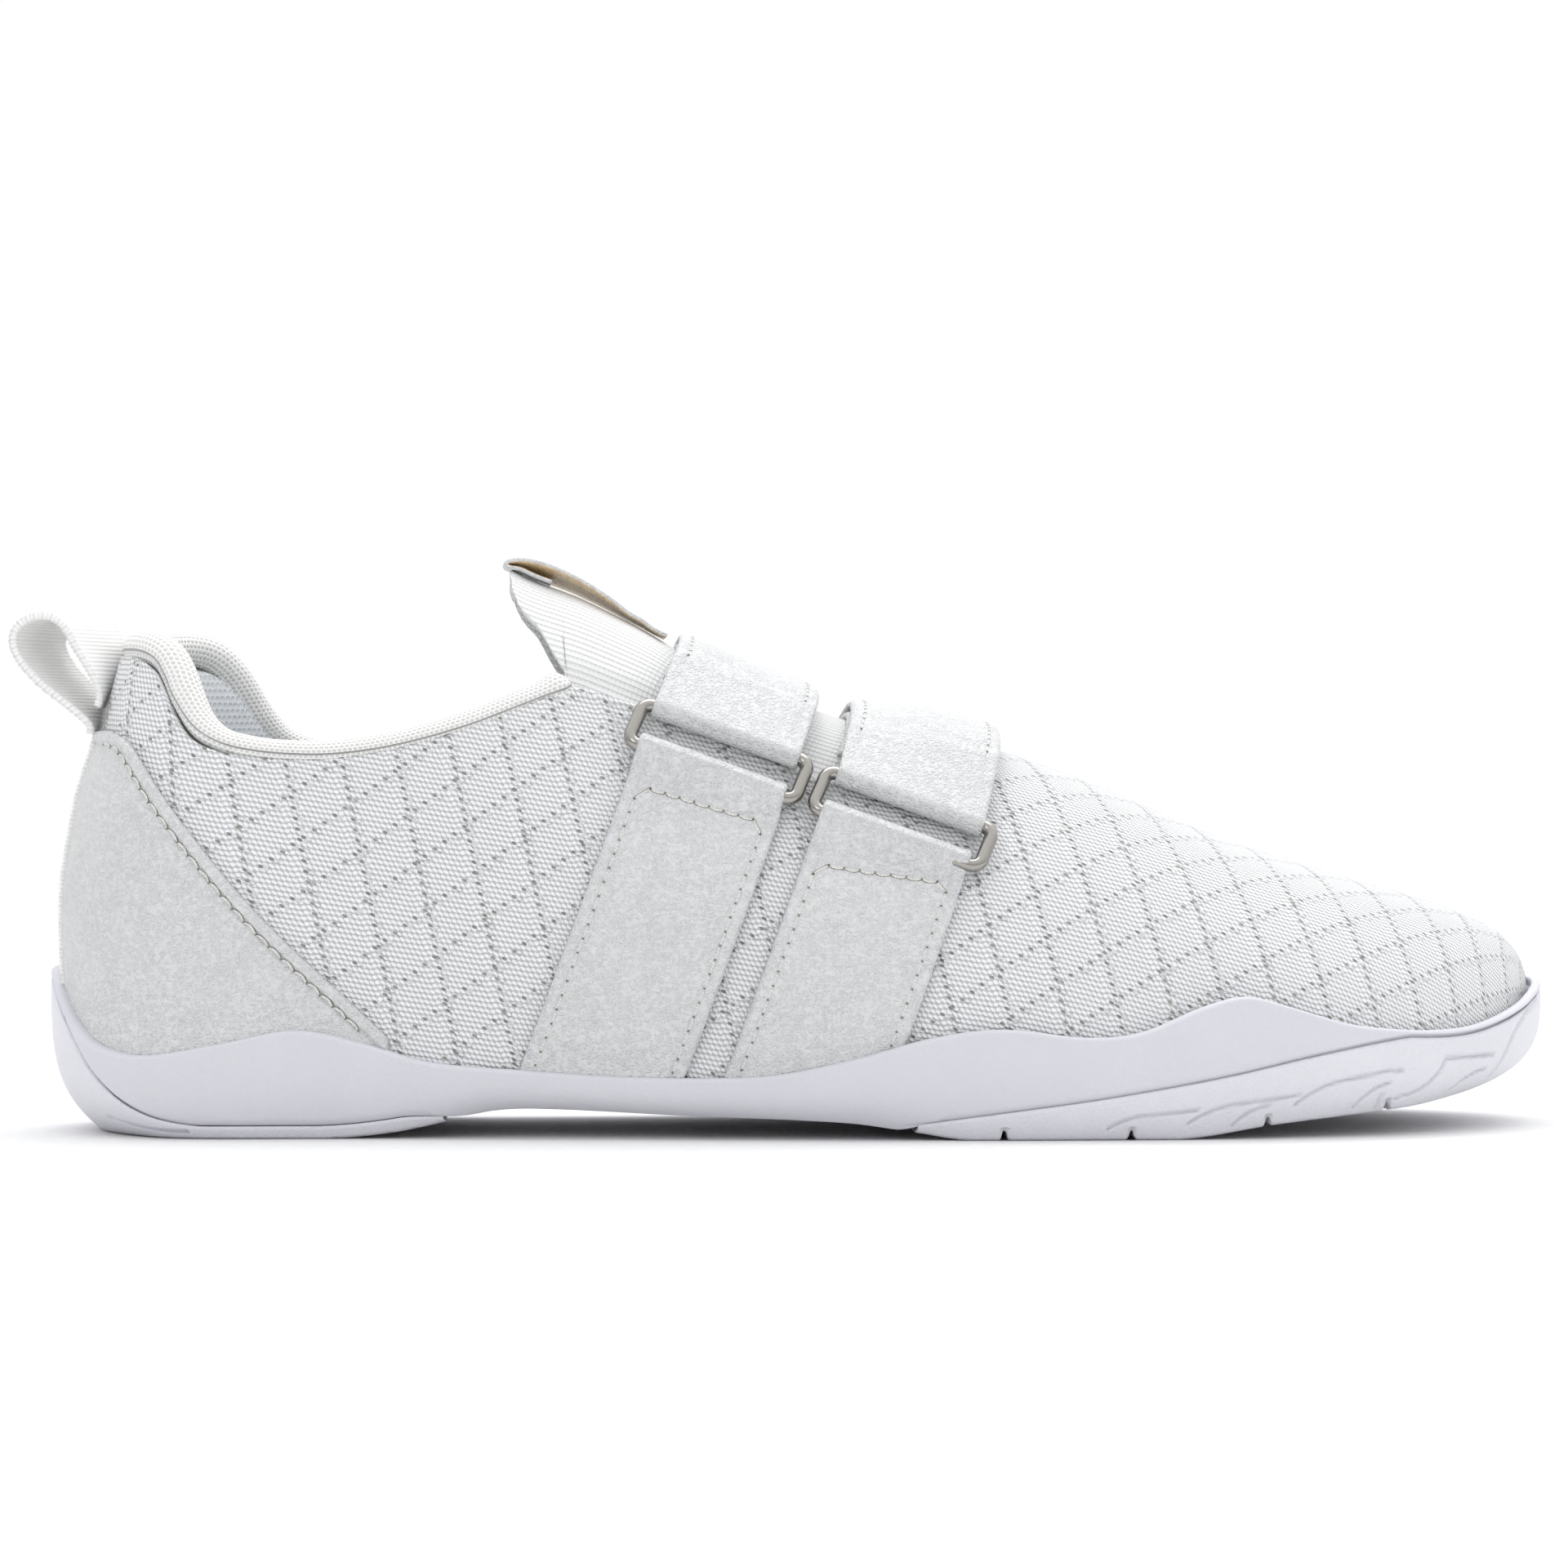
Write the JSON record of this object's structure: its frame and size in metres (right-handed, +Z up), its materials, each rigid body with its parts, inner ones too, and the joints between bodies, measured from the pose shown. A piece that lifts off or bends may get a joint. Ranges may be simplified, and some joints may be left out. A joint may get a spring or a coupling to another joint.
{
  "type": "cheer shoe",
  "caption": "Slip-on knit cheer shoe for the right foot with a cupped sole, two straps through metal rings that fold back on hook-and-loop tape, a tongue with a tab and a heel pull loop.",
  "frame": {"origin": "on the floor under the middle of the shoe, measured over its whole length with the pull loop", "axes": "+X towards the toe, +Y towards the inner side of the foot, +Z up"},
  "size_m": [0.2766, 0.0938, 0.1019],
  "materials": {
    "midsole_foam": "matte moulded foam rubber, fine texture",
    "tread_rubber": "matte moulded rubber, pebbled",
    "board": "stiffened fibre board",
    "insole_cloth": "soft cloth over foam",
    "knit": "white knit with rows of small holes",
    "padding": "soft foam",
    "lining_mesh": "white mesh",
    "collar_knit": "fine stretch knit",
    "white_leather": "soft white grained synthetic leather",
    "ribbon": "woven ribbon with beaded edges",
    "ribbed_cloth": "ribbed stretch cloth",
    "tab_leather": "white outside, tan inside",
    "polished_nickel": "polished",
    "hook_and_loop": "hook and loop tape"
  },
  "bodies": {
    "shoe": {"midsole": "midsole_foam", "forefoot_outsole": "tread_rubber", "heel_outsole": "tread_rubber", "lasting_board": "board", "insole": "insole_cloth", "knit_upper": "knit", "toe_puff": "board", "heel_counter": "board", "collar_foam": "padding", "heel_lining": "lining_mesh", "collar_binding": "collar_knit", "outer_heel_panel": "white_leather", "inner_heel_panel": "white_leather", "heel_ribbon": "ribbon", "tongue_base": "ribbed_cloth", "rear_anchor_strap": "white_leather", "rear_under_strap": "white_leather", "rear_loop_tape": "hook_and_loop", "front_anchor_strap": "white_leather", "front_under_strap": "white_leather", "front_loop_tape": "hook_and_loop"},
    "rear_ring": {"rear_ring": "polished_nickel"},
    "front_ring": {"front_ring": "polished_nickel"},
    "rear_flap": {"rear_flap": "white_leather", "rear_hook_tape": "hook_and_loop"},
    "front_flap": {"front_flap": "white_leather", "front_hook_tape": "hook_and_loop"},
    "tongue": {"tongue": "ribbed_cloth", "tongue_pull_tab": "tab_leather"},
    "pull_loop": {"pull_loop": "ribbon"}
  },
  "joints": [
    {"name": "rear_ring_pivot", "type": "hinge", "parent": "shoe", "child": "rear_ring", "pos_m": [-0.01563, -0.03224, 0.06374], "axis": [0.9318, -0.1237, -0.3413], "range_deg": [0, 25]},
    {"name": "rear_flap_peel", "type": "hinge", "parent": "rear_ring", "child": "rear_flap", "pos_m": [-0.01258, -0.02781, 0.07046], "axis": [0.9318, -0.1237, -0.3413], "range_deg": [0, 110]},
    {"name": "front_ring_pivot", "type": "hinge", "parent": "shoe", "child": "front_ring", "pos_m": [0.01604, -0.03711, 0.05212], "axis": [0.9267, -0.1615, -0.3394], "range_deg": [0, 25]},
    {"name": "front_flap_peel", "type": "hinge", "parent": "front_ring", "child": "front_flap", "pos_m": [0.01924, -0.03256, 0.05868], "axis": [0.9267, -0.1615, -0.3394], "range_deg": [0, 110]},
    {"name": "tongue_flex", "type": "hinge", "parent": "shoe", "child": "tongue", "pos_m": [-0.02655, 0, 0.088], "axis": [0, 1, 0], "range_deg": [0, 30], "stiffness_Nm_per_rad": 0.05},
    {"name": "pull_loop_flex", "type": "hinge", "parent": "shoe", "child": "pull_loop", "pos_m": [-0.12365, 0, 0.071], "axis": [0, 1, 0], "range_deg": [-30, 0], "stiffness_Nm_per_rad": 0.02}
  ]
}
